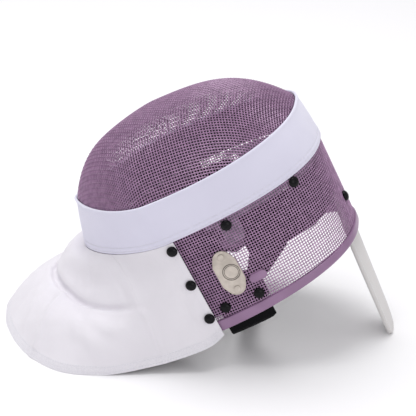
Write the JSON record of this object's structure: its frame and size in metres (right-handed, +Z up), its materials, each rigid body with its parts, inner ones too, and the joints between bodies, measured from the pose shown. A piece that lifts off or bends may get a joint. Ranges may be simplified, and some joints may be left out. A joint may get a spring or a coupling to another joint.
{
  "type": "fencing mask",
  "caption": "Head guard for fencing: domed wire face mesh, wire side mesh, cloth trim band, flared throat bib and sprung tongue, resting face up on a surface.",
  "frame": {"origin": "on the floor under the middle of the mask's box, in the plane that halves the face", "axes": "+X from the chin towards the crown and the tongue's tip, +Y towards the wearer's right, +Z up; the face looks up and leans towards -X"},
  "size_m": [0.4396, 0.2822, 0.279],
  "materials": {
    "wire": "lacquered steel wire, satin",
    "white_cloth": "dense white woven cloth",
    "band_cloth": "smooth pale lavender cloth",
    "purple_plastic": "glossy",
    "black_plastic": "glossy, domed",
    "black_cloth": "matte padded cloth and elastic",
    "grey_cloth": "matte grey cloth",
    "cream_metal": "satin cream lacquer over metal",
    "tongue_cover": "off-white coated cover"
  },
  "bodies": {
    "root": {"back_strap": "black_cloth", "badge_plate": "cream_metal", "badge_rivet_1": "cream_metal", "badge_rivet_2": "cream_metal", "bib": "white_cloth", "bib_snap_left_1": "black_plastic", "bib_snap_left_2": "black_plastic", "bib_snap_left_3": "black_plastic", "bib_snap_right_1": "black_plastic", "bib_snap_right_2": "black_plastic", "bib_snap_right_3": "black_plastic", "cheek_pad_left": "black_cloth", "cheek_pad_right": "black_cloth", "crown_pad": "black_cloth", "crown_snap": "black_plastic", "face_mesh": "wire", "liner_band": "grey_cloth", "mesh_snap_left_1": "black_plastic", "mesh_snap_left_2": "black_plastic", "mesh_snap_left_3": "black_plastic", "mesh_snap_left_4": "black_plastic", "mesh_snap_right_1": "black_plastic", "mesh_snap_right_2": "black_plastic", "mesh_snap_right_3": "black_plastic", "mesh_snap_right_4": "black_plastic", "rim_binding": "purple_plastic", "side_mesh": "wire", "strap_tab_left": "purple_plastic", "strap_tab_right": "purple_plastic", "tongue": "tongue_cover", "trim_band": "band_cloth"}
  },
  "joints": []
}
